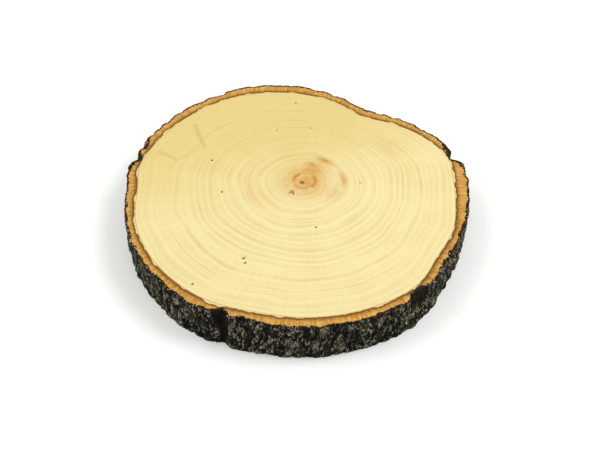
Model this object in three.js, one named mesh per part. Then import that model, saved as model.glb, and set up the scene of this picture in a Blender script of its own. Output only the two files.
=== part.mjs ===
// A slice sawn straight across a small tree trunk: a disc of pale wood, wider on one side of its
// pith than on the other, in the closed ring of rough bark that grew on it.
// Millimetres, +Z up. The slice lies on its lower saw cut, with the middle of its outline at the origin.
import * as THREE from "three";
import { ImprovedNoise } from "three/addons/math/ImprovedNoise.js";

// Driving dimensions
const THICKNESS = 24; // between the two saw cuts
const THINNEST_BARK = 0.8; // what the deepest break may leave on the wood
const FURROW_DEPTH = 1.2; // between the bark's ridges
const FURROW_SPACING = 6.5; // between furrows, round the trunk
const FURROW_STRETCH = 2.5; // a ridge's length along the trunk, over its width
const FURROW_SHARE = 0.3; // of the noise on each side of a furrow's middle
const KNOB_HEIGHT = 0.5; // of the lumps on the ridges, each way
const KNOB_SIZE = 4.5; // of those lumps
const SPOKES = 340; // sections round the trunk
const LEVELS = 12; // steps of the bark's outer face, from cut to cut

// The edge of the wood: a bearing, anticlockwise from +X in degrees, its distance from the pith,
// and the thickness of the bark there
const WOOD_EDGE = [
  [2, 86.8, 8.6],
  [14, 87.8, 7],
  [30, 82.6, 6],
  [44, 76, 6.8],
  [58, 70.4, 7.2],
  [72, 75, 6.8],
  [90, 82, 7.6],
  [108, 87.2, 8],
  [122, 90, 7],
  [145, 92.3, 6.8],
  [170, 95.4, 6.4],
  [182, 93.6, 6.4],
  [200, 97, 5.8],
  [220, 99.8, 5.5],
  [240, 101, 6.6],
  [256, 99.2, 7.6],
  [272, 100, 7],
  [288, 99.9, 6.2],
  [303, 99, 5.8],
  [311, 96.8, 5.4],
  [320, 92.6, 6],
  [335, 90.7, 5.2],
  [350, 87.4, 8],
];

// Where bark has broken away: the bearing of the deepest line, how deep it is at the upper cut, how far
// along the edge it runs out on the clockwise and anticlockwise sides, how far down it fades out,
// and the power that bends its slopes, which is smaller for a blunter hollow
const BREAKS = [
  { bearing: 13.2, depth: 3.2, clockwise: 3.4, anticlockwise: 4.5, fade: 34, power: 0.9 },
  { bearing: 13.2, depth: 2.4, clockwise: 3, anticlockwise: 14, fade: 30, power: 0.7 },
  { bearing: 166, depth: 1.4, clockwise: 10, anticlockwise: 10, fade: 7, power: 0.45 },
  { bearing: 168.8, depth: 2.8, clockwise: 5, anticlockwise: 2.2, fade: 30, power: 0.9 },
  { bearing: 247.5, depth: 1.2, clockwise: 13, anticlockwise: 3.6, fade: 20, power: 0.55 },
  { bearing: 247.8, depth: 2.8, clockwise: 6, anticlockwise: 2.2, fade: 120, power: 0.8 },
  { bearing: 252, depth: 2, clockwise: 5, anticlockwise: 17, fade: 6, power: 0.7 },
  { bearing: 305.5, depth: 3, clockwise: 6, anticlockwise: 8, fade: 17, power: 0.6 },
];

const noise = new ImprovedNoise();

// The edge of the wood as spokes from the pith, each with its bearing, its point, the way out of the trunk
// and the bark's thickness there, which the curve through the edge carries as a third coordinate
function woodSpokes() {
  const points = WOOD_EDGE.map(([bearing, distance, bark]) => {
    const angle = THREE.MathUtils.degToRad(bearing);
    return new THREE.Vector3(distance * Math.cos(angle), distance * Math.sin(angle), bark);
  });
  const edge = new THREE.CatmullRomCurve3(points, true, "centripetal");
  return Array.from({ length: SPOKES }, (_, i) => {
    const { x, y, z } = edge.getPointAt(i / SPOKES);
    const tangent = edge.getTangentAt(i / SPOKES);
    return {
      point: new THREE.Vector3(x, y, 0),
      outward: new THREE.Vector3(tangent.y, -tangent.x, 0).normalize(),
      bearing: THREE.MathUtils.radToDeg(Math.atan2(y, x)),
      bark: z,
    };
  });
}

// How much of the bark is missing at a spoke and a height
function brokenDepth(spoke, z) {
  const below = THICKNESS - z;
  return BREAKS.reduce((total, gap) => {
    const turn = THREE.MathUtils.euclideanModulo(spoke.bearing - gap.bearing + 180, 360) - 180;
    const along = THREE.MathUtils.degToRad(turn) * spoke.point.length();
    const reach = along < 0 ? gap.clockwise : gap.anticlockwise;
    const slope = Math.max(0, 1 - Math.abs(along) / reach) ** gap.power;
    return total + gap.depth * slope * (1 - THREE.MathUtils.smoothstep(below, 0, gap.fade));
  }, 0);
}

// The bark's thickness at a spoke and a height: wandering furrows between ridges that run along the trunk
function barkThickness(spoke, z) {
  const { x, y } = spoke.point;
  const along = z / (FURROW_SPACING * FURROW_STRETCH);
  const net = noise.noise(x / FURROW_SPACING, y / FURROW_SPACING, along);
  const furrow = Math.max(0, 1 - Math.abs(net) / FURROW_SHARE);
  const knob = KNOB_HEIGHT * noise.noise(x / KNOB_SIZE, y / KNOB_SIZE, z / KNOB_SIZE);
  const grown = spoke.bark + knob - FURROW_DEPTH * furrow;
  return Math.max(THINNEST_BARK, grown - brokenDepth(spoke, z));
}

// One closed section of the bark at a spoke: down the wood's side, then up the outer face
function barkSection(spoke) {
  const inner = [THICKNESS, 0].map((z) => spoke.point.clone().setZ(z));
  const outer = Array.from({ length: LEVELS + 1 }, (_, j) => {
    const z = (THICKNESS * j) / LEVELS;
    return spoke.point.clone().addScaledVector(spoke.outward, barkThickness(spoke, z)).setZ(z);
  });
  return [...inner, ...outer];
}

// A closed mesh from points and the triangles between them
function solidGeometry(points, triangles) {
  const geometry = new THREE.BufferGeometry().setFromPoints(points).setIndex(triangles.flat());
  geometry.computeVertexNormals();
  return geometry;
}

// The ring of bark: neighbouring sections joined by quads, each split in two
function barkGeometry(spokes) {
  const sections = spokes.map(barkSection);
  const size = sections[0].length;
  const triangles = sections.flatMap((section, i) =>
    section.flatMap((_, j) => {
      const here = i * size;
      const next = ((i + 1) % SPOKES) * size;
      const k = (j + 1) % size;
      return [
        [here + j, next + k, here + k],
        [here + j, next + j, next + k],
      ];
    }),
  );
  return solidGeometry(sections.flat(), triangles);
}

// The disc of wood: both saw cuts fan out from the pith, and its side meets the bark
function woodGeometry(spokes) {
  const ends = [0, THICKNESS].map((z) => new THREE.Vector3(0, 0, z));
  const sides = spokes.flatMap(({ point }) => [point.clone().setZ(0), point.clone().setZ(THICKNESS)]);
  const triangles = spokes.flatMap((_, i) => {
    const low = ends.length + 2 * i;
    const nextLow = ends.length + 2 * ((i + 1) % SPOKES);
    return [
      [0, nextLow, low],
      [1, low + 1, nextLow + 1],
      [low + 1, low, nextLow],
      [low + 1, nextLow, nextLow + 1],
    ];
  });
  return solidGeometry([...ends, ...sides], triangles);
}

function namedMesh(name, geometry, color, roughness) {
  const mesh = new THREE.Mesh(geometry, new THREE.MeshStandardMaterial({ color, roughness, metalness: 0 }));
  mesh.name = name;
  return mesh;
}

const spokes = woodSpokes();
const wood = namedMesh("wood_disc", woodGeometry(spokes), "#f0dfa6", 0.7);
const bark = namedMesh("bark_ring", barkGeometry(spokes), "#3b362c", 0.95);

// The pith moves off the origin, so that the middle of the outline lies on it
const slice = new THREE.Group();
slice.add(wood, bark);
const middle = new THREE.Box3().setFromObject(slice).getCenter(new THREE.Vector3());
slice.position.set(-middle.x, -middle.y, 0);

const part = new THREE.Group();
part.add(slice);
export default part;
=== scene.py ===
"""A slice sawn across a small trunk: pale wood with its growth rings, in a ring of rough bark.

Run as a script in Blender 4.5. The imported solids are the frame: the pith, the wood's edge and the bark's
thickness are read from them, so each piece lies where its solid lies.
"""

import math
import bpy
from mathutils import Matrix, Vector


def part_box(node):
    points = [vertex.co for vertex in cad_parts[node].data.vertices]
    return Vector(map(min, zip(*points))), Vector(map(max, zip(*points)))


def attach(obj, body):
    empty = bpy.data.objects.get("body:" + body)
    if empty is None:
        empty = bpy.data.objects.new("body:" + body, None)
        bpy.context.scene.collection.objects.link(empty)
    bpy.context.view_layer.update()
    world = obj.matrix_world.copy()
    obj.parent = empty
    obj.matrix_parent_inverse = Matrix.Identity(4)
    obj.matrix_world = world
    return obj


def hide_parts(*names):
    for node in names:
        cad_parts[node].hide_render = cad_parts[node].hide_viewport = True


bl_info = {
    "name": "Wood slice",
    "version": (1, 0, 0),
    "blender": (4, 5, 0),
    "location": "View3D > Sidebar > Wood slice",
    "description": "Models the wood and the bark of a trunk slice over their packed solids",
    "category": "Object",
}

from functools import partial

import bmesh
import bpy
import numpy as np
from bpy.props import FloatProperty, FloatVectorProperty, IntProperty, PointerProperty
from mathutils import Vector, noise
from mathutils.bvhtree import BVHTree

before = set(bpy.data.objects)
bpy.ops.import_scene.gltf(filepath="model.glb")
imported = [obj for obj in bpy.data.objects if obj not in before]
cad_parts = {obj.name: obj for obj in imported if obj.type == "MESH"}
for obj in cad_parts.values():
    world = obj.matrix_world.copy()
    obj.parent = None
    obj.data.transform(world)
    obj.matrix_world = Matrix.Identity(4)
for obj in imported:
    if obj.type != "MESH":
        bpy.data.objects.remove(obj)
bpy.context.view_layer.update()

MM = 0.001
BODY = "root"
WOOD_NODE = "wood_disc"
BARK_NODE = "bark_ring"

# The photograph's frame, and what its perspective gives
PHOTO_WIDTH = 600
PHOTO_FOCAL = 1000  # pixels
SENSOR = 36.0  # millimetres, across the frame
AIM_FROM_PITH = (-1.14 * MM, -10.45 * MM)  # the middle of the frame, on the floor

# How finely the pieces are cut up
WOOD_SPOKES = 480
WOOD_ROWS = 84  # from the pith to the edge, on each saw cut
BARK_SPOKES = 1400
BARK_LEVELS = 44  # from cut to cut, on the outer face
BARK_ROWS = 9  # from the wood to the outer face, on each saw cut
MARK_CUTS = 2  # times that the wood's faces are halved about a mark

# Marks on the wood, by a bearing from the pith, in degrees anticlockwise from +X, and a distance in mm
SPECKS = (
    # bearing, distance, radius
    (159.9, 55.9, 0.75),
    (189.9, 46.0, 0.7),
    (242.4, 66.7, 0.75),
    (244.4, 69.1, 0.7),
    (233.8, 95.8, 0.75),
    (281.9, 36.8, 0.65),
    (359.7, 33.1, 0.45),
    (92.9, 73.0, 0.5),
    (83.5, 48.8, 0.4),
    (107.9, 49.0, 0.4),
)
SCARS = (
    # healed wounds, each with its strength and drawn from point to point
    (1.0, ((141.6, 82.7), (146.0, 74.5), (151.7, 65.2))),
    (0.8, ((162.5, 87.7), (163.2, 82.0), (165.2, 75.5))),
    (0.35, ((151.7, 65.2), (155.5, 68.5), (160.0, 71.0), (165.2, 75.5), (172.0, 78.0))),
)
CRACKS = (
    # short checks by the pith, drawn from point to point
    ((226.0, 9.2), (236.0, 9.0), (243.0, 11.0)),
    ((236.0, 9.0), (231.0, 11.4)),
)
STAINS = (
    # bearing, distance, half length along the ring, half width across it, strength
    (12.0, 7.5, 3.4, 2.4, 1.0),
    (58.0, 12.5, 9.0, 7.5, 0.75),
    (70.0, 16.5, 5.5, 1.7, 0.95),
    (55.0, 23.0, 6.0, 2.0, 0.9),
    (6.0, 24.0, 7.0, 2.2, 0.7),
    (335.0, 20.0, 9.0, 5.0, 0.32),
    (192.0, 30.0, 16.0, 2.6, 0.25),
    (33.0, 60.0, 11.0, 6.0, 0.22),
)
SPECK_DEPTH = 0.35 * MM
SCAR_WIDTH = 2.2 * MM
SCAR_DEPTH = 0.08 * MM
CRACK_WIDTH = 0.8 * MM
CRACK_DEPTH = 0.35 * MM
HEART_OFFSET = np.array([1.6, 1.4]) * MM  # from the pith to the middle of the stain that rings it
HEART_RING = 6.2 * MM  # radius of that stain
HEART_WIDTH = 2.0 * MM
HEART_STRENGTH = 0.95
HAZE_RADIUS = 13.02 * MM  # of the fainter stain that fills the ring and spreads past it
HAZE_STRENGTH = 0.72
PITH_RADIUS = 1.3 * MM
CAMBIUM_DEPTH = 0.05 * MM  # of the fine groove between wood and bark
CHIP_LENGTH = 3.5 * MM  # of the chips along the bark's sawn rim
CHIP_DEPTH = 1.6 * MM
CHIP_FROM = 0.12  # noise above this makes a chip
DARK_RIMS = (
    # where the crust runs in over the upper saw cut: bearing, half length along the edge, how far in
    (10.5, 4.0, 1.8),
    (18.0, 6.0, 2.3),
    (160.5, 5.5, 2.4),
    (169.0, 9.0, 1.4),
    (244.0, 8.0, 0.5),
    (305.5, 7.0, 0.8),
)
FACET_BLUR = 0.6 * MM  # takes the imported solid's facets off the bark
RIM_CALM = 3 * MM  # from each saw cut, over which the bark's relief gets calmer
BREAK_SPAN = 18 * MM  # to each side, over which the bark's full thickness is read
BREAK_DEPTHS = (1.0 * MM, 2.7 * MM)  # missing bark from which a place starts to look broken, and fully does
YEAR_SPREAD = 1.6  # how far wide and narrow years put the count out, each way
RING_WAVE = 26 * MM  # length of the waves along a ring
WARM_WAY = (-0.45, 1.0, 0.0)  # towards which the wood gets warmer
OUTER_FACE = 0.02 * MM  # bark nearer the outer face than this lies on it
RIDGE_STRETCH = 2.2  # a bark ridge's spacing along the trunk, over that round it
SCALE_MARGIN = 1.5 * MM  # from each saw cut to the nearest loose scale's middle
FIBRE_BAND = (0.5 * MM, 1.5 * MM)  # from the outer face, where torn fibres stand on the cut
FLOOR_HALF = 3.0  # metres, from the middle of the paper to its sides
FLOOR_DROP = 0.05 * MM  # of the paper below the slice
SHARP_ANGLE = math.radians(48)


def to_linear(code):
    """Linear RGBA of an sRGB hex colour."""
    channels = [int(code[i : i + 2], 16) / 255 for i in (1, 3, 5)]
    bright = [c / 12.92 if c <= 0.04045 else ((c + 0.055) / 1.055) ** 2.4 for c in channels]
    return (*bright, 1.0)


def colour(label, about, code):
    """A colour property that starts at an sRGB hex value."""
    return FloatVectorProperty(
        name=label, description=about, default=to_linear(code), subtype="COLOR", size=4, min=0, max=1
    )


def length(label, about, millimetres):
    """A length property that starts at a size in millimetres."""
    return FloatProperty(
        name=label, description=about, default=millimetres * MM, min=0, unit="LENGTH", precision=5
    )


class WoodSettings(bpy.types.PropertyGroup):
    rings: FloatProperty(name="Growth rings", description="Years from pith to bark", default=24, min=3)
    ring_relief: length("Ring relief", "How far the hard late wood stands above the early wood", 0.07)
    ring_wobble: FloatProperty(
        name="Ring wobble",
        description="How far a ring strays from the outline, in ring widths",
        default=0.28,
    )
    early: colour("Early wood", "Pale wood of spring, most of each ring", "#F3E4AB")
    late: colour("Late wood", "Thin tan line that ends each ring", "#DDBD76")
    far_side: colour("Yellowed wood", "Warmer wood towards the far left and the edge", "#E6CE83")
    stain: colour("Heart stain", "Orange-brown stain about the pith", "#CB8200")
    mark: colour("Marks", "Specks, checks and the pith itself", "#5A3204")
    scar: colour("Healed wounds", "Thin lines where the tree closed a wound", "#A98A3E")
    cambium: colour("Cambium", "Brown line where wood meets bark", "#8A5A1E")
    seed: IntProperty(name="Seed", description="Changes the rings' wobble", default=4)


class BarkSettings(bpy.types.PropertyGroup):
    plate_width: length("Plate width", "Round the trunk, of the bark's small plates", 6.0)
    plate_length: length("Plate length", "Along the trunk, of the bark's small plates", 14.0)
    crack_depth: length("Crack depth", "Between the plates", 0.7)
    ridge_width: length("Ridge spacing", "Of the wavy ridges on the plates", 2.7)
    ridge_height: length("Ridge height", "Of the wavy ridges on the plates", 0.45)
    cut_tear: length("Torn cut", "How rough the saw left the inner bark", 0.25)
    crust: length("Crust", "Thickness of the dark outer bark on the saw cuts", 1.1)
    crust_colour: colour("Crust colour", "Dark brown of the outer bark on the saw cuts", "#3A2A18")
    furrow: colour("Furrows", "Near-black bottoms of the cracks", "#0E0C08")
    plate: colour("Plates", "Dark olive-brown between the ridges", "#262318")
    ridge: colour("Ridges", "Grey-olive crests of the ridges", "#9C987B")
    bloom: colour("Bloom", "Pale grey bloom on some crests", "#B4B29C")
    rust: colour("Rust", "Reddish-brown bark where scales have come off", "#5E3220")
    inner: colour("Inner bark", "Orange fibres on the saw cuts", "#C08534")
    inner_dark: colour("Inner bark, dark fibres", "Browner fibres near the wood", "#875316")
    inner_pale: colour("Inner bark, pale fibres", "Lighter bundles among the fibres", "#DFB05E")
    sapwood: colour("Sapwood", "Wood that the saw left under the bark's inner edge", "#EAD394")
    seed: IntProperty(name="Seed", description="Changes where the cracks run", default=7)


class ScaleSettings(bpy.types.PropertyGroup):
    density: FloatProperty(
        name="Scales", description="Loose scales on a square metre of outer bark", default=80000, min=0
    )
    width: length("Scale width", "Round the trunk", 1.3)
    height: length("Scale length", "Along the trunk", 2.7)
    thickness: length("Scale thickness", "Of the middle of a scale", 0.35)
    dark: colour("Dark scales", "Weathered brown-black", "#1F1C14")
    pale: colour("Pale scales", "Grey-olive, with a trace of lichen", "#9A9880")
    seed: IntProperty(name="Seed", description="Changes where the scales sit", default=11)


class FibreSettings(bpy.types.PropertyGroup):
    density: FloatProperty(
        name="Fibres",
        description="Torn fibres on a square metre of the cut's outer edge",
        default=700000,
        min=0,
    )
    size: length("Fibre length", "Of the torn fibres along the cut's outer edge", 0.9)
    thickness: length("Fibre thickness", "At its root", 0.8)
    fibre: colour("Torn fibre", "Pale pink-cream of torn inner bark", "#EFCB93")
    seed: IntProperty(name="Seed", description="Changes where the fibres stand", default=3)


class StageSettings(bpy.types.PropertyGroup):
    elevation: FloatProperty(
        name="Camera height",
        description="Angle of the view above the floor",
        default=math.radians(45),
        subtype="ANGLE",
    )
    distance: length("Camera distance", "From the lens to the middle of the frame", 580)
    floor: colour("Floor", "White paper sweep", "#FAFAFA")
    sky: colour("Fill light", "Soft light from all round", "#FDFEF8")
    sky_strength: FloatProperty(
        name="Fill strength", description="Of the light from all round", default=0.62
    )
    floor_glow: FloatProperty(
        name="Floor glow", description="Light that comes up through the paper", default=0.13
    )
    right_power: FloatProperty(
        name="Right lamp", description="Power of the soft lamp on the right", default=7.2, subtype="POWER"
    )
    left_power: FloatProperty(
        name="Left lamp", description="Power of the soft lamp on the left", default=4.4, subtype="POWER"
    )
    lamp_size: length("Lamp size", "Across each of the two soft lamps", 700)
    lamp_place: FloatVectorProperty(
        name="Lamp place",
        description="Of the right-hand lamp; the other mirrors it",
        default=(0.8, 0.0, 1.1),
        subtype="XYZ",
        unit="LENGTH",
    )


def feed(tree, socket, value):
    """Gives a socket a value, or links it to another socket or to a node's first live output."""
    if isinstance(value, bpy.types.Node):
        value = next(output for output in value.outputs if output.enabled)
    if isinstance(value, bpy.types.NodeSocket):
        tree.links.new(value, socket)
    else:
        socket.default_value = value


def add(tree, kind, *feeds, named=None, **settings):
    """Adds a node with its settings, and feeds its sockets in order or by name."""
    node = tree.nodes.new(kind)
    for key, value in settings.items():
        setattr(node, key, value)
    known = {socket.identifier: socket for socket in node.inputs}
    for socket, value in zip(node.inputs, feeds):
        feed(tree, socket, value)
    for key, value in (named or {}).items():
        feed(tree, known.get(key) or node.inputs[key], value)
    return node


def new_material(name):
    """A material with its tree and its one shader."""
    material = bpy.data.materials.new(name)
    material.use_nodes = True
    tree = material.node_tree
    return material, tree, tree.nodes["Principled BSDF"]


def geometry_tree(name, inputs):
    """A tree of geometry nodes with one geometry in and out and the named inputs, and its two end nodes."""
    tree = bpy.data.node_groups.new(name, "GeometryNodeTree")
    tree.interface.new_socket("Geometry", in_out="INPUT", socket_type="NodeSocketGeometry")
    tree.interface.new_socket("Geometry", in_out="OUTPUT", socket_type="NodeSocketGeometry")
    for label, kind in inputs.items():
        tree.interface.new_socket(label, in_out="INPUT", socket_type="NodeSocket" + kind)
    return tree, tree.nodes.new("NodeGroupInput").outputs, tree.nodes.new("NodeGroupOutput")


def end_tree(tree, result, made, material):
    """Ends a geometry tree: makes instances real, sets the material and puts the geometry out."""
    made = add(tree, "GeometryNodeRealizeInstances", made)
    made = add(tree, "GeometryNodeSetMaterial", named={"Geometry": made, "Material": material})
    feed(tree, result.inputs["Geometry"], made)


def run_tree(piece, tree, values):
    """Runs a geometry tree on a piece and keeps the result as the piece's plain mesh."""
    modifier = piece.modifiers.new(tree.name, "NODES")
    modifier.node_group = tree
    for socket in tree.interface.items_tree:
        if socket.in_out == "INPUT" and socket.name in values:
            modifier[socket.identifier] = values[socket.name]
    graph = bpy.context.evaluated_depsgraph_get()
    made = bpy.data.meshes.new_from_object(
        piece.evaluated_get(graph), preserve_all_data_layers=True, depsgraph=graph
    )
    if not made.polygons:
        raise RuntimeError(f"{tree.name} made nothing")
    piece.modifiers.clear()
    piece.data = made
    made.name = piece.name


def new_piece(name, points, faces):
    """A mesh object at the origin."""
    mesh = bpy.data.meshes.new(name)
    mesh.from_pydata(points.tolist(), [], faces)
    piece = bpy.data.objects.new(name, mesh)
    bpy.context.scene.collection.objects.link(piece)
    return piece


def carry(mesh, name, values):
    """Stores a number or a vector for each vertex."""
    values = np.asarray(values, dtype=np.float32)
    vector = values.ndim == 2
    layer = mesh.attributes.new(name, "FLOAT_VECTOR" if vector else "FLOAT", "POINT")
    layer.data.foreach_set("vector" if vector else "value", values.ravel())


def vertex_array(mesh):
    """The vertices of a mesh as rows of three."""
    flat = np.empty(3 * len(mesh.vertices), dtype=np.float32)
    mesh.vertices.foreach_get("co", flat)
    return flat.reshape(-1, 3).astype(float)


def smooth(value, low, high):
    """Rises smoothly from 0 at low to 1 at high."""
    t = np.clip((value - low) / (high - low), 0, 1)
    return t * t * (3 - 2 * t)


def wood_outline(count):
    """The pith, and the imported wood's edge as evenly spaced points with the way out at each."""
    points = vertex_array(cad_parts[WOOD_NODE].data)
    top = np.round(points[points[:, 2] > points[:, 2].max() / 2, :2], 7)
    corners, uses = np.unique(top, axis=0, return_counts=True)
    pith = corners[uses.argmax()]
    rim = np.delete(corners, uses.argmax(), axis=0)
    rim = rim[np.argsort(np.arctan2(*(rim - pith).T[::-1]))]
    closed = np.vstack([rim, rim[:1]])
    along = np.concatenate([[0], np.cumsum(np.hypot(*np.diff(closed, axis=0).T))])
    steps = np.linspace(0, along[-1], count, endpoint=False)
    edge = np.column_stack([np.interp(steps, along, closed[:, axis]) for axis in (0, 1)])
    reach = max(1, round(count * 2 * MM / along[-1]))
    tangent = np.roll(edge, -reach, axis=0) - np.roll(edge, reach, axis=0)
    outward = np.column_stack([tangent[:, 1], -tangent[:, 0]])
    outward /= np.linalg.norm(outward, axis=1, keepdims=True)
    return pith, edge, outward


def slice_height():
    """The height of the upper saw cut."""
    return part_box(WOOD_NODE)[1].z


def at_bearing(pith, bearing, distance):
    """A point on a saw cut, by its bearing from the pith in degrees and its distance in millimetres."""
    angle = math.radians(bearing)
    return pith + distance * MM * np.array([math.cos(angle), math.sin(angle)])


def line_distance(points, start, end):
    """How far points lie from a straight line between two points."""
    run = end - start
    share = np.clip((points - start) @ run / (run @ run), 0, 1)
    return np.linalg.norm(points - start - share[:, None] * run, axis=1)


def path_distance(points, pith, path):
    """How far points lie from a path that is given by bearings and distances."""
    corners = [at_bearing(pith, *corner) for corner in path]
    legs = [line_distance(points, start, end) for start, end in zip(corners, corners[1:])]
    return np.min(legs, axis=0)


def crack_depth(points, pith):
    """How deep each point lies in a check, from 0 outside to 1 in the middle."""
    nearest = np.min([path_distance(points, pith, path) for path in CRACKS], axis=0)
    return 1 - smooth(nearest, 0.15 * CRACK_WIDTH, CRACK_WIDTH)


def scar_depth(points, pith):
    """How strongly each point shows a healed wound, from 0 to 1."""
    shown = [peak * (1 - smooth(path_distance(points, pith, path), 0, SCAR_WIDTH)) for peak, path in SCARS]
    return np.max(shown, axis=0)


def speck_depth(points, pith):
    """How deep each point lies in a speck, from 0 outside to 1 in the middle."""
    deepest = np.zeros(len(points))
    for bearing, distance, radius in SPECKS:
        away = np.linalg.norm(points - at_bearing(pith, bearing, distance), axis=1) / (radius * MM)
        deepest = np.maximum(deepest, 1 - smooth(away, 0.45, 1.3))
    return deepest


def stain_strength(points, pith):
    """How strongly each point is stained: the ring about the pith, and strokes along nearby growth rings."""
    across = points - pith
    far = np.linalg.norm(across, axis=1)
    bearing = np.arctan2(across[:, 1], across[:, 0])
    heart = np.linalg.norm(across - HEART_OFFSET, axis=1)
    strength = HEART_STRENGTH * np.exp(-(((heart - HEART_RING) / HEART_WIDTH) ** 2))
    strength = np.maximum(strength, HAZE_STRENGTH * np.exp(-((heart / HAZE_RADIUS) ** 2)))
    for where, distance, half_length, half_width, peak in STAINS:
        turn = (bearing - math.radians(where) + math.pi) % (2 * math.pi) - math.pi
        along = turn * far / (half_length * MM)
        off = (far - distance * MM) / (half_width * MM)
        strength = np.maximum(strength, peak * np.exp(-(along**2) - off**2))
    return strength


def refine_marks(mesh, pith):
    """Halves the faces about the specks, wounds and checks, so that they can be sunk into the wood."""
    work = bmesh.new()
    work.from_mesh(mesh)
    for _ in range(MARK_CUTS):
        work.faces.ensure_lookup_table()
        middles = np.array([face.calc_center_median()[:2] for face in work.faces])
        flat = np.array([abs(face.normal.z) > 0.5 for face in work.faces])
        near = speck_depth(middles, pith) + crack_depth(middles, pith) + scar_depth(middles, pith) > 0
        edges = {edge for index in np.flatnonzero(near & flat) for edge in work.faces[index].edges}
        bmesh.ops.subdivide_edges(work, edges=list(edges), cuts=1, use_grid_fill=True)
        work.normal_update()
    work.to_mesh(mesh)
    work.free()


def wood_blank(name):
    """The disc of wood as spokes and rows on both cuts, with its marks sunk in and what its tree reads."""
    pith, edge, _ = wood_outline(WOOD_SPOKES)
    height = slice_height()
    shares = np.arange(1, WOOD_ROWS + 1) / WOOD_ROWS
    shares = np.concatenate([shares, shares[::-1]])
    levels = np.repeat([height, 0.0], WOOD_ROWS)
    levels[WOOD_ROWS - 1] -= CAMBIUM_DEPTH
    levels[WOOD_ROWS] += CAMBIUM_DEPTH
    flat = pith + shares[None, :, None] * (edge - pith)[:, None, :]
    grid = np.concatenate([flat, np.broadcast_to(levels[None, :, None], (*flat.shape[:2], 1))], axis=2)
    size = 2 * WOOD_ROWS
    points = np.vstack([grid.reshape(-1, 3), [*pith, height], [*pith, 0]])
    upper, lower = len(points) - 2, len(points) - 1
    faces = []
    for here in range(WOOD_SPOKES):
        a, b = here * size, (here + 1) % WOOD_SPOKES * size
        faces.append((upper, a, b))
        faces.extend((a + j, a + j + 1, b + j + 1, b + j) for j in range(size - 1))
        faces.append((lower, b + size - 1, a + size - 1))
    piece = new_piece(name, points, faces)
    mesh = piece.data
    refine_marks(mesh, pith)

    points = vertex_array(mesh)
    spot = points[:, :2]
    away = spot - pith
    far = np.linalg.norm(away, axis=1)
    bearing = np.arctan2(away[:, 1], away[:, 0])
    spokes = edge - pith
    order = np.argsort(np.arctan2(spokes[:, 1], spokes[:, 0]))
    turns = np.arctan2(spokes[:, 1], spokes[:, 0])[order]
    reaches = np.linalg.norm(spokes, axis=1)[order]
    reach = np.interp(bearing, turns, reaches, period=2 * math.pi)
    share = far / reach
    # The youngest rings are round and the oldest follow the edge
    age = far / (reaches.mean() + (reach - reaches.mean()) * smooth(share, 0.3, 1.0))
    speck = np.maximum(speck_depth(spot, pith), 1 - smooth(far, 0.5 * PITH_RADIUS, 1.3 * PITH_RADIUS))
    crack = crack_depth(spot, pith)
    scar = scar_depth(spot, pith)
    side = np.where(points[:, 2] > height / 2, 1.0, -1.0)
    sunk = np.maximum(SPECK_DEPTH * speck, np.maximum(CRACK_DEPTH * crack, SCAR_DEPTH * scar))
    points[:, 2] -= side * sunk
    mesh.vertices.foreach_set("co", points.astype(np.float32).ravel())
    carry(mesh, "age", age)
    carry(mesh, "face", side * (share < 1 - 0.5 / WOOD_ROWS))
    # On the checks the mark is painted shade, the dark of their narrow openings
    carry(mesh, "mark", np.maximum(speck, 0.75 * crack))
    carry(mesh, "scar", scar)
    carry(mesh, "stain", stain_strength(spot, pith))
    carry(mesh, "ray", np.column_stack([away / np.maximum(far, 0.1 * MM)[:, None], share]))
    return piece


def growth_ring_tree():
    """Counts the years at each point of the wood, in rings of uneven width, and raises the late wood."""
    tree, given, result = geometry_tree(
        "Growth rings",
        {"Rings": "Float", "Wobble": "Float", "Relief": "Float", "Seed": "Float", "Material": "Material"},
    )
    put = partial(add, tree)
    age = put("GeometryNodeInputNamedAttribute", "age", data_type="FLOAT")
    side = put("GeometryNodeInputNamedAttribute", "face", data_type="FLOAT")
    flat = put("ShaderNodeVectorMath", put("GeometryNodeInputPosition"), (1, 1, 0), operation="MULTIPLY")

    # Wide and narrow years, the same all round
    when = put("ShaderNodeMath", age, given["Seed"], operation="ADD")
    wide = put("ShaderNodeTexNoise", named={"W": when, "Scale": 7.0, "Detail": 2.0}, noise_dimensions="1D")
    wide = put("ShaderNodeMapRange", wide, 0.0, 1.0, -YEAR_SPREAD, YEAR_SPREAD)
    years = put("ShaderNodeMath", age, given["Rings"], wide, operation="MULTIPLY_ADD")

    # Waves that run along a ring
    spread = {"Vector": flat, "W": given["Seed"], "Scale": 1 / RING_WAVE, "Detail": 1.0, "Roughness": 0.4}
    waves = put("ShaderNodeTexNoise", named=spread, noise_dimensions="4D")
    waves = put("ShaderNodeMapRange", waves, 0.25, 0.75, -1.0, 1.0)
    years = put("ShaderNodeMath", waves, given["Wobble"], years, operation="MULTIPLY_ADD")

    # The late wood of each year stands a little above the early wood
    phase = put("ShaderNodeMath", years, operation="FRACT")
    early = put("ShaderNodeMapRange", phase, 0.3, 0.9, -1.0, 0.0, interpolation_type="SMOOTHSTEP")
    lift = put("ShaderNodeMath", early, given["Relief"], operation="MULTIPLY")
    lift = put("ShaderNodeMath", lift, side, operation="MULTIPLY")
    shift = put("ShaderNodeCombineXYZ", 0.0, 0.0, lift)
    made = put("GeometryNodeSetPosition", named={"Geometry": given["Geometry"], "Offset": shift})
    told = {"Geometry": made, "Name": "years", "Value": years}
    made = put("GeometryNodeStoreNamedAttribute", named=told, data_type="FLOAT", domain="POINT")
    end_tree(tree, result, made, given["Material"])
    return tree


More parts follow.
